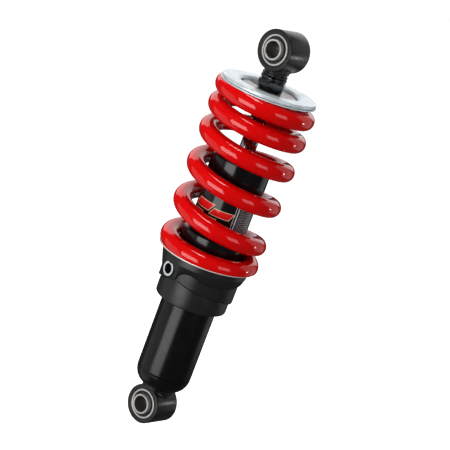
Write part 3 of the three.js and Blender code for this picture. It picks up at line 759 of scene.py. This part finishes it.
def label_grid(radius, rows, columns):
    """Points of a rectangle with round corners, wrapped round the body at a radius."""
    points = []
    middle = math.radians(LABEL_FROM_DEG + LABEL_TO_DEG) / 2
    half = math.radians(LABEL_TO_DEG - LABEL_FROM_DEG) / 2 * LABEL_R
    for i in range(rows):
        height = LABEL_LOW + (LABEL_HIGH - LABEL_LOW) * (1 - math.cos(math.pi * i / (rows - 1))) / 2
        into_corner = max(LABEL_CORNER - min(height - LABEL_LOW, LABEL_HIGH - height), 0)
        reach = half - LABEL_CORNER + math.sqrt(max(LABEL_CORNER ** 2 - into_corner ** 2, 0))
        for j in range(columns):
            angle = middle + reach / LABEL_R * (2 * j / (columns - 1) - 1)
            points.append((radius * math.cos(angle), radius * math.sin(angle), height))
    return points


def wrapped_label(name, rows=29, columns=120):
    """A thin foil round the body: an outer and an inner grid, joined along their edge."""
    outer, inner = label_grid(LABEL_R, rows, columns), label_grid(LABEL_INNER_R, rows, columns)
    size = rows * columns
    faces = []
    for i in range(rows - 1):
        for j in range(columns - 1):
            a = i * columns + j
            quad = (a, a + 1, a + 1 + columns, a + columns)
            faces += [quad, tuple(size + k for k in reversed(quad))]
    edge = list(range(columns)) + [i * columns + columns - 1 for i in range(1, rows)]
    edge += [(rows - 1) * columns + j for j in reversed(range(columns - 1))]
    edge += [i * columns for i in reversed(range(1, rows - 1))]
    for a, b in zip(edge, edge[1:] + edge[:1]):
        faces.append((a, size + a, size + b, b))
    return add_mesh(name, outer + inner, faces)


finish_piece(wrapped_label("body_label_printed"), label_material(), "damper_body", "gloss_black")

# ---- Preload adjuster ----

def ramp_height(degrees):
    """Height of the lower ring's ramps: a long fall and a shorter rise, twice round."""
    along = (degrees - RAMP_START_DEG) % RAMP_PERIOD_DEG
    if along < RAMP_FALL_DEG:
        return RAMP_HIGH + (RAMP_LOW - RAMP_HIGH) * along / RAMP_FALL_DEG
    share = (along - RAMP_FALL_DEG) / (RAMP_PERIOD_DEG - RAMP_FALL_DEG)
    return RAMP_LOW + (RAMP_HIGH - RAMP_LOW) * share


def step_height(degrees):
    """Height of the foot of the collar's step: a steep arch, a level run, then a slope back down."""
    along = (degrees - RAMP_START_DEG - ARCH_LAG_DEG) % RAMP_PERIOD_DEG
    if along < ARCH_DEG:
        left = 1 - along / ARCH_DEG
        return STEP_FOOT + (ARCH_TOP - STEP_FOOT) * math.sqrt(1 - left * left)
    if along < ARCH_DEG + ARCH_FALL_DEG:
        share = (along - ARCH_DEG) / ARCH_FALL_DEG
        return ARCH_TOP + (STEP_LEVEL - ARCH_TOP) * share * share * (3 - 2 * share)
    if along < STEP_END_DEG:
        return STEP_LEVEL
    share = min((along - STEP_END_DEG) / (STEP_FOOT_DEG - STEP_END_DEG), 1)
    return STEP_LEVEL + (STEP_FOOT - STEP_LEVEL) * share


RAMP_SIDES = 360
ramp_ring = revolved("ramp_ring_cast", [
    (RING_FOOT_R, RING_BOTTOM, 0.2),
    (RAMP_R, RING_BOTTOM, 1.3),
    (RAMP_R, ramp_height, 0.5),
    (COLLAR_BORE_R, ramp_height, 0.3),
    (COLLAR_BORE_R, RING_RELIEF_TOP),
    (RING_FOOT_R, RING_RELIEF_TOP),
], RAMP_SIDES)
finish_piece(ramp_ring, COLLAR_BLACK, "damper_body", "cast_black", "preload_ramp_ring")


def collar_edge(degrees):
    return ramp_height(degrees) + RAMP_PLAY


collar = revolved("preload_collar_cast", [
    (COLLAR_BORE_R, collar_edge, 0.3),
    (SKIRT_R, collar_edge, 1.0),
    (SKIRT_R, step_height, 0.25),
    (SKIRT_R + STEP_LIP, lambda a: step_height(a) + STEP_RISE, 0.3),
    (FLANGE_R, FLANGE_BOTTOM, 0.8),
    (FLANGE_R, COLLAR_TOP, 0.6),
    (COLLAR_BORE_R + 0.02, COLLAR_TOP, 0.3),
], RAMP_SIDES, sharp=40)


def turned_out(outline, degrees, name, sides=64):
    """A solid of revolution about a line that points out from the damper's axis, through a bar hole."""
    made = revolved(name, outline, sides)
    place = Matrix.Rotation(math.radians(degrees), 4, "Z") @ Matrix.Rotation(math.pi / 2, 4, "Y")
    made.data.transform(Matrix.Translation((0, 0, BAR_HOLE_Z * MM)) @ place)
    return made


for i in range(2):
    degrees = BAR_HOLE_DEG + 180 * i
    boss = turned_out([
        (0, BOSS_ROOT_R),
        (BOSS_R, BOSS_ROOT_R),
        (BOSS_R, BOSS_FACE_R, 0.35),
        (0, BOSS_FACE_R),
    ], degrees, "boss")
    combined(collar, [boss])
    hole = turned_out([
        (0, BOSS_ROOT_R - 0.5),
        (BAR_HOLE_R, BOSS_ROOT_R - 0.5),
        (BAR_HOLE_R, BOSS_FACE_R - 0.6),
        (BAR_HOLE_R + 0.3, BOSS_FACE_R + 0.1),
        (BAR_HOLE_R + 0.3, BOSS_FACE_R + 7.2),
        (0, BOSS_FACE_R + 7.2),
    ], degrees, "hole")
    combined(collar, [hole], "DIFFERENCE", 40)
finish_piece(collar, COLLAR_BLACK, "adjuster_collar", "cast_black", "preload_collar")

RIM_INNER_R, RIM_OUTER_R = BAR_HOLE_R + 0.35, BOSS_R - 0.35
for i, side in enumerate(("front", "back")):
    rim = turned_out([
        (RIM_INNER_R, BOSS_FACE_R - 0.3),
        (RIM_OUTER_R, BOSS_FACE_R - 0.3),
        (RIM_OUTER_R, BOSS_FACE_R + 0.12, 0.15),
        (RIM_INNER_R, BOSS_FACE_R + 0.12, 0.15),
    ], BAR_HOLE_DEG + 180 * i, f"bar_hole_rim_{side}")
    finish_piece(rim, RIM_ZINC, "adjuster_collar", "bright_steel")

lower_washer = revolved(
    "lower_washer_pressed", ring(WASHER_HOLE_R, WASHER_R, COLLAR_TOP + 0.1, SPRING_BOTTOM - 0.1, 0.2),
)
finish_piece(lower_washer, WASHER_STEEL, "adjuster_lift", "bright_steel", "lower_spring_washer")

spring_guide = revolved("spring_guide_moulded", [
    (COLLAR_BORE_R, COLLAR_TOP + 0.3, 0.2),
    (GUIDE_R, COLLAR_TOP + 0.3, 0.2),
    (GUIDE_R, GUIDE_TOP - GUIDE_CHAMFER, 0.3),
    (GUIDE_R - GUIDE_CHAMFER, GUIDE_TOP, 0.3),
    (COLLAR_BORE_R, GUIDE_TOP, 0.5),
])
finish_piece(spring_guide, GLOSS_BLACK, "adjuster_lift", "gloss_black", "spring_guide")

# ---- Coil spring ----

def eased_drop(share, before, within, after):
    """How far the wire has dropped at a share of one coil, from its pitch there and at its two ends."""
    squared, cubed = share ** 2, share ** 3
    ends = before * (share - 2 * squared + cubed) + after * (cubed - squared)
    return ends + within * (3 * squared - 2 * cubed)


def wire_height(turns):
    """Height of the wire's centre line after a number of turns from where the first full coil begins."""
    last = len(PITCHES)
    if turns < 0:
        return FIRST_COIL - turns * TOP_END_PITCH
    whole = min(int(turns), last)
    above = FIRST_COIL - sum(PITCHES[:whole])
    share = turns - whole
    if whole == last:
        return above - BOTTOM_END_PITCH * BOTTOM_END_REACH * (1 - math.exp(-share / BOTTOM_END_REACH))
    before = (PITCHES[whole - 1] + PITCHES[whole]) / 2 if whole > 0 else START_PITCH
    after = (PITCHES[whole] + PITCHES[whole + 1]) / 2 if whole < last - 1 else BOTTOM_END_PITCH
    return above - eased_drop(share, before, PITCHES[whole], after)


def wire_point(turns):
    angle = math.radians(COIL_START_DEG + 360 * turns)
    return np.array([COIL_R * math.cos(angle), COIL_R * math.sin(angle), wire_height(turns)])


WIRE_SIDES = 40
WIRE_STEPS = 120  # cross-sections in a turn
SPLIT_TURN = 4.25  # where the piece that follows the stroke meets the piece that follows the preload
DEAD_TOP_TURN = 0.35  # the closed end down to here moves as one with the upper seat
LIFTED_TURN = 4.85  # the spring below here moves as one with the lower washer
# A turn gives STROKE_PER_TURN or FREE_GAP_SHARE of its gap, whichever is less. The sum is scaled to 1.
STROKE_PER_TURN = 12.6
FREE_GAP_SHARE = 0.93


def wire_piece(name, start, end, weight_of, other_body):
    """The spring from one turn to another, ground flat at its end. Each point follows the damper's body and
    other_body, in shares that weight_of gives for its turn."""
    count = int(round((end - start) * WIRE_STEPS)) + 1
    verts, weights = [], []
    for i in range(count):
        turns = start + (end - start) * i / (count - 1)
        centre = wire_point(turns)
        tangent = wire_point(turns + 1e-4) - wire_point(turns - 1e-4)
        tangent /= np.linalg.norm(tangent)
        outward = np.array([centre[0], centre[1], 0]) / COIL_R
        side = outward - tangent * outward.dot(tangent)
        side /= np.linalg.norm(side)
        rise = np.cross(tangent, side)
        for k in range(WIRE_SIDES):
            angle = 2 * math.pi * k / WIRE_SIDES
            verts.append(centre + WIRE_R * (math.cos(angle) * side + math.sin(angle) * rise))
            weights.append(weight_of(turns))
    verts = np.array(verts)
    faces = []
    for i in range(count - 1):
        here, there = i * WIRE_SIDES, (i + 1) * WIRE_SIDES
        for k in range(WIRE_SIDES):
            m = (k + 1) % WIRE_SIDES
            faces.append((here + k, here + m, there + m, there + k))
    faces.append(tuple(range(WIRE_SIDES)))
    faces.append(tuple((count - 1) * WIRE_SIDES + k for k in range(WIRE_SIDES)))
    mesh = bpy.data.meshes.new(name)
    mesh.from_pydata((verts * MM).tolist(), [], faces)
    kept = mesh.attributes.new("turn_weight", "FLOAT", "POINT")
    kept.data.foreach_set("value", weights)
    bm = bmesh.new()
    bm.from_mesh(mesh)
    bmesh.ops.recalc_face_normals(bm, faces=bm.faces)
    for height, up in ((SPRING_TOP, 1), (SPRING_BOTTOM, -1)):
        found = bmesh.ops.bisect_plane(
            bm, geom=bm.verts[:] + bm.edges[:] + bm.faces[:], plane_co=(0, 0, height * MM),
            plane_no=(0, 0, up), clear_outer=True,
        )
        edges = [g for g in found["geom_cut"] if isinstance(g, bmesh.types.BMEdge) and g.is_boundary]
        if edges:
            bmesh.ops.contextual_create(bm, geom=edges)
    bmesh.ops.recalc_face_normals(bm, faces=bm.faces)
    bm.to_mesh(mesh)
    bm.free()
    shade(mesh, 50)
    made = bpy.data.objects.new(name, mesh)
    bpy.context.scene.collection.objects.link(made)
    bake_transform(made, "damper_body", other_body, start=(0, 0, SPRING_BOTTOM * MM), end=(0, 0, SPRING_TOP * MM))
    held = np.zeros(len(mesh.vertices), np.float32)
    mesh.attributes["turn_weight"].data.foreach_get("value", held)
    mesh.attributes["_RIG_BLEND"].data.foreach_set("value", held)
    mesh.attributes.remove(mesh.attributes["turn_weight"])
    return made


def smooth(share):
    share = min(max(share, 0.0), 1.0)
    return share * share * (3 - 2 * share)


def stroke_shares():
    """Share of the stroke that the wire moves at each turn above the split. Tight turns give less of it."""
    turns = np.linspace(DEAD_TOP_TURN, SPLIT_TURN, 800)
    step = turns[1] - turns[0]
    pitch = -np.gradient([wire_height(t) for t in turns], step)
    room = np.clip(FREE_GAP_SHARE * (pitch - 2 * WIRE_R - 0.1), 0, None)
    rate = np.minimum(room, STROKE_PER_TURN)
    rate *= np.array([smooth((SPLIT_TURN - t) / 0.3) for t in turns])
    moved = np.cumsum((rate * step)[::-1])[::-1]
    return turns, moved / moved[0]


stroke_turns, stroke_share = stroke_shares()
upper_spring = wire_piece(
    "coil_spring_upper", -CLOSED_TOP_TURNS, SPLIT_TURN,
    lambda t: float(np.interp(t, stroke_turns, stroke_share)), "spring_seat",
)
lower_spring = wire_piece(
    "coil_spring_lower", SPLIT_TURN, COIL_COUNT,
    lambda t: smooth((t - SPLIT_TURN) / (LIFTED_TURN - SPLIT_TURN)), "adjuster_lift",
)
for piece in (upper_spring, lower_spring):
    finish_piece(piece, RED_POWDER, None, "red_powder")
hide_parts("coil_spring")

# ---- Upper seat, retainer, nut and bump stop ----

HUB_R = COIL_R - WIRE_R - 1.1
RIM_UNDER = SPRING_TOP + 1.3
upper_seat = revolved("upper_seat_pressed", [
    (SEAT_HOLE_R, SEAT_FLOOR_UNDER, 0.3),
    (HUB_R, SEAT_FLOOR_UNDER, 1.6),
    (HUB_R, RIM_UNDER, 0.3),
    (SEAT_R, RIM_UNDER, 0.9),
    (SEAT_R, SEAT_TOP, 1.2),
    (HUB_R - 0.4, SEAT_TOP, 1.4),
    (HUB_R - 2.4, SEAT_TOP - 1.8, 1.0),
    (HUB_R - 2.6, SEAT_FLOOR_TOP, 0.8),
    (SEAT_HOLE_R, SEAT_FLOOR_TOP, 0.3),
])
finish_piece(upper_seat, ZINC, "spring_seat", "zinc", "upper_spring_seat")

upper_washer = revolved(
    "upper_washer_pressed",
    ring(UPPER_WASHER_HOLE_R, UPPER_WASHER_R, SPRING_TOP + 0.15, SPRING_TOP + 0.95, 0.2),
)
finish_piece(upper_washer, RIM_ZINC, "spring_seat", "zinc", "upper_spring_washer")

RETAINER_LOW = SEAT_FLOOR_TOP + 0.1
RETAINER_STEP = RETAINER_LOW + RETAINER_FLANGE
RETAINER_TOP = NUT_BOTTOM - 0.15
retainer = revolved("seat_retainer_turned", [
    (RETAINER_BORE_R, RETAINER_LOW, 0.2),
    (RETAINER_R, RETAINER_LOW, 0.6),
    (RETAINER_R, RETAINER_STEP, 0.6),
    (RETAINER_NECK_R, RETAINER_STEP, 0.3),
    (RETAINER_GROOVE_R, RETAINER_STEP + 0.8, 0.3),
    (RETAINER_NECK_R, RETAINER_STEP + 1.6, 0.3),
    (RETAINER_NECK_R, RETAINER_TOP, 0.3),
    (RETAINER_BORE_R, RETAINER_TOP, 0.2),
], SMALL_ROUND)


def prism(name, outline, low, high):
    count = len(outline)
    sides = [(i, (i + 1) % count, count + (i + 1) % count, count + i) for i in range(count)]
    ends = [tuple(range(count)), tuple(range(count, 2 * count))]
    return add_mesh(name, [(x, y, z) for z in (low, high) for x, y in outline], ends + sides)


SLOT_HALF = ROD_R + 0.2
SLOT_REACH = 30
slot_cutter = prism(
    "slot_cutter", [(0, -SLOT_HALF), (SLOT_REACH, -SLOT_HALF), (SLOT_REACH, SLOT_HALF), (0, SLOT_HALF)],
    SEAT_FLOOR_UNDER, NUT_TOP,
)
slot_cutter.data.transform(Matrix.Rotation(math.radians(SLOT_DEG), 4, "Z"))
combined(retainer, [slot_cutter], "DIFFERENCE")
finish_piece(retainer, RETAINER_STEEL, "rod_assembly", "zinc", "seat_retainer")


def hex_nut(name, across, hole_r, low, high):
    """A hexagon nut with a bevelled foot, a groove and a round collar at the top, and a countersunk hole."""
    corner, flat = across / math.sqrt(3), across / 2
    outline = [(corner * math.cos(math.pi / 3 * i), corner * math.sin(math.pi / 3 * i)) for i in range(6)]
    nut = prism(name, outline, low, high)
    keep = revolved("nut_turning", [
        (0, low),
        (flat - 0.2, low, 0.2),
        (corner + 0.1, low + 1.2),
        (corner + 0.1, high - 4.2),
        (flat - 0.5, high - 3.4, 0.3),
        (flat - 0.5, high - 2.7, 0.3),
        (flat + 0.4, high - 2.1, 0.3),
        (flat + 0.4, high - 0.9, 0.4),
        (flat - 0.2, high, 0.2),
        (0, high),
    ], SMALL_ROUND)
    combined(nut, [keep], "INTERSECT")
    hole = revolved("nut_hole", [
        (0, low - 1),
        (hole_r + 1.1, low - 1),
        (hole_r, low + 0.8),
        (hole_r, high - 0.8),
        (hole_r + 1.1, high + 1),
        (0, high + 1),
    ], SMALL_ROUND)
    return combined(nut, [hole], "DIFFERENCE", 20)


lock_nut = hex_nut("lock_nut_forged", NUT_ACROSS_FLATS, NUT_THREAD_R, NUT_BOTTOM, NUT_TOP)
finish_piece(lock_nut, BLACK_OXIDE, "rod_assembly", "black_oxide", "lock_nut")

bump_washer = revolved(
    "bump_washer_pressed",
    ring(ROD_R + 0.15, BUMP_WASHER_R, BUMP_WASHER_UNDER, BUMP_WASHER_TOP, 0.4),
    SMALL_ROUND,
)
finish_piece(bump_washer, DULL_STEEL, "rod_assembly", "dull_steel", "bump_washer")

bump_stop = revolved("bump_stop_moulded", [
    (ROD_R + 0.12, BUMP_STOP_BOTTOM, 0.3),
    (9, BUMP_STOP_BOTTOM, 0.8),
    (10.6, BUMP_STOP_BOTTOM + 1.6, 0.8),
    (10.6, BUMP_STOP_BOTTOM + 3.4, 0.6),
    (9.8, BUMP_STOP_BOTTOM + 4.4, 0.5),
    (12, BUMP_STOP_BOTTOM + 6, 1.2),
    (12, BUMP_STOP_TOP, 0.8),
    (ROD_R + 0.12, BUMP_STOP_TOP, 0.3),
], SMALL_ROUND)
finish_piece(bump_stop, RUBBER, "rod_assembly", "rubber", "bump_stop")

# ---- CAD nodes that stay, inside the body ----

KEPT_NODES = {
    "seal_head": ALUMINIUM,
    "rod_bushing": BRONZE,
    "oil_seal": RUBBER,
    "head_o_ring": RUBBER,
    "piston": DULL_STEEL,
    "piston_band": SLIP_BAND,
    "rebound_shims": WASHER_STEEL,
    "compression_shims": WASHER_STEEL,
    "piston_nut": DULL_STEEL,
    "top_out_plate": DULL_STEEL,
    "top_out_bumper": RUBBER,
    "floating_piston": ALUMINIUM,
    "floating_piston_ring": RUBBER,
    "ramp_snap_ring": DULL_STEEL,
}
for node, material in KEPT_NODES.items():
    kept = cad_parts[node]
    kept.data.materials.clear()
    kept.data.materials.append(material)

# ---- Camera ----

CAMERA_AT = (642.5, -893.3, 462.0)
LOOK_DEG = 125.5  # heading of the line of sight, from +X towards +Y
LOOK_DOWN_DEG = 15.68
ROLL_DEG = 20.61
LENS = 123.07  # for a sensor 36 wide

heading, dip = math.radians(LOOK_DEG), math.radians(LOOK_DOWN_DEG)
sight = Vector((math.cos(heading) * math.cos(dip), math.sin(heading) * math.cos(dip), -math.sin(dip)))
camera_data = bpy.data.cameras.new("camera")
camera_data.lens = LENS
camera_data.sensor_width = 36
camera_data.clip_start = 0.05
camera_data.clip_end = 50
camera = bpy.data.objects.new("camera", camera_data)
bpy.context.scene.collection.objects.link(camera)
bpy.context.scene.camera = camera
turned = sight.to_track_quat("-Z", "Y").to_matrix() @ Matrix.Rotation(math.radians(ROLL_DEG), 3, "Z")
camera.matrix_world = Matrix.Translation(Vector(CAMERA_AT) * MM) @ turned.to_4x4()

# ---- Floor, backdrop and lights ----

MIDDLE = Vector((0, 0, 0.145))


def rig_direction(across_deg, up_deg):
    """A direction from the object, turned from the camera's by angles across and up its picture."""
    across, up = math.radians(across_deg), math.radians(up_deg)
    return turned @ Vector((math.sin(across) * math.cos(up), math.sin(up), math.cos(across) * math.cos(up)))


def softbox(name, across_deg, up_deg, distance, width, height, radiance, glossy=True):
    """A rectangular light that faces the object. Distances and sizes are in metres."""
    data = bpy.data.lights.new(name, "AREA")
    data.shape = "RECTANGLE"
    data.size = width
    data.size_y = height
    data.energy = radiance * math.pi * width * height
    light = bpy.data.objects.new(name, data)
    bpy.context.scene.collection.objects.link(light)
    direction = rig_direction(across_deg, up_deg)
    facing = direction.to_track_quat("Z", "Y").to_matrix().to_4x4()
    light.matrix_world = Matrix.Translation(MIDDLE + direction * distance) @ facing
    light.visible_camera = False
    light.visible_glossy = glossy
    return light


softbox("key_left", -42, -9, 2.0, 1.42, 1.4, 3.4)
softbox("side_left", -96, -6, 1.6, 1.5, 2.0, 0.42)
softbox("fill_right", 42, -15, 1.8, 0.84, 0.95, 1.5)
softbox("top", 24, 68, 1.4, 0.8, 0.32, 6.5)
softbox("spark_right", 104, -14, 0.9, 0.08, 0.1, 14)
softbox("edge_right", 118, 0, 1.4, 1.0, 1.8, 0.4)
softbox("backdrop", 172, 40, 1.6, 2.4, 1.15, 1.2)
softbox("front_wash", -34, 25, 1.2, 0.9, 0.9, 1.9, glossy=False)

FLOOR_HALF, FLOOR_Z = 6, -0.35  # metres
floor_corners = [(x * FLOOR_HALF, y * FLOOR_HALF, FLOOR_Z) for x, y in ((-1, -1), (1, -1), (1, 1), (-1, 1))]
floor_mesh = bpy.data.meshes.new("floor")
floor_mesh.from_pydata(floor_corners, [], [(0, 1, 2, 3)])
floor = bpy.data.objects.new("floor", floor_mesh)
bpy.context.scene.collection.objects.link(floor)
floor_nodes = Nodes("pale_floor")
floor_nodes.set(
    Base_Color=floor_nodes.mix(floor_nodes.noise(900, 2), rgba(0.93, 0.93, 0.93), rgba(0.97, 0.97, 0.97)),
    Roughness=0.9,
    Emission_Color=rgba(1, 1, 1),
    Emission_Strength=1.0,
)
floor.data.materials.append(floor_nodes.material)
floor.visible_glossy = False
floor.visible_diffuse = False

# Strength of the sky where the camera, a diffuse surface and a glossy surface see it.
BACKGROUND, DIFFUSE_SKY, GLOSSY_SKY = 1.0, 0.25, 0.05
world = bpy.data.worlds.new("studio")
bpy.context.scene.world = world
world.use_nodes = True
sky = world.node_tree
kind = sky.nodes.new("ShaderNodeLightPath")
soft_part = sky.nodes.new("ShaderNodeMix")
soft_part.inputs[2].default_value = DIFFUSE_SKY
soft_part.inputs[3].default_value = GLOSSY_SKY
sky.links.new(kind.outputs["Is Glossy Ray"], soft_part.inputs[0])
seen_part = sky.nodes.new("ShaderNodeMix")
seen_part.inputs[3].default_value = BACKGROUND
sky.links.new(kind.outputs["Is Camera Ray"], seen_part.inputs[0])
sky.links.new(soft_part.outputs[0], seen_part.inputs[2])
sky.nodes["Background"].inputs["Color"].default_value = rgba(1, 1, 1)
sky.links.new(seen_part.outputs[0], sky.nodes["Background"].inputs["Strength"])

bpy.context.scene.view_settings.view_transform = "Standard"
bpy.context.scene.view_settings.look = "None"
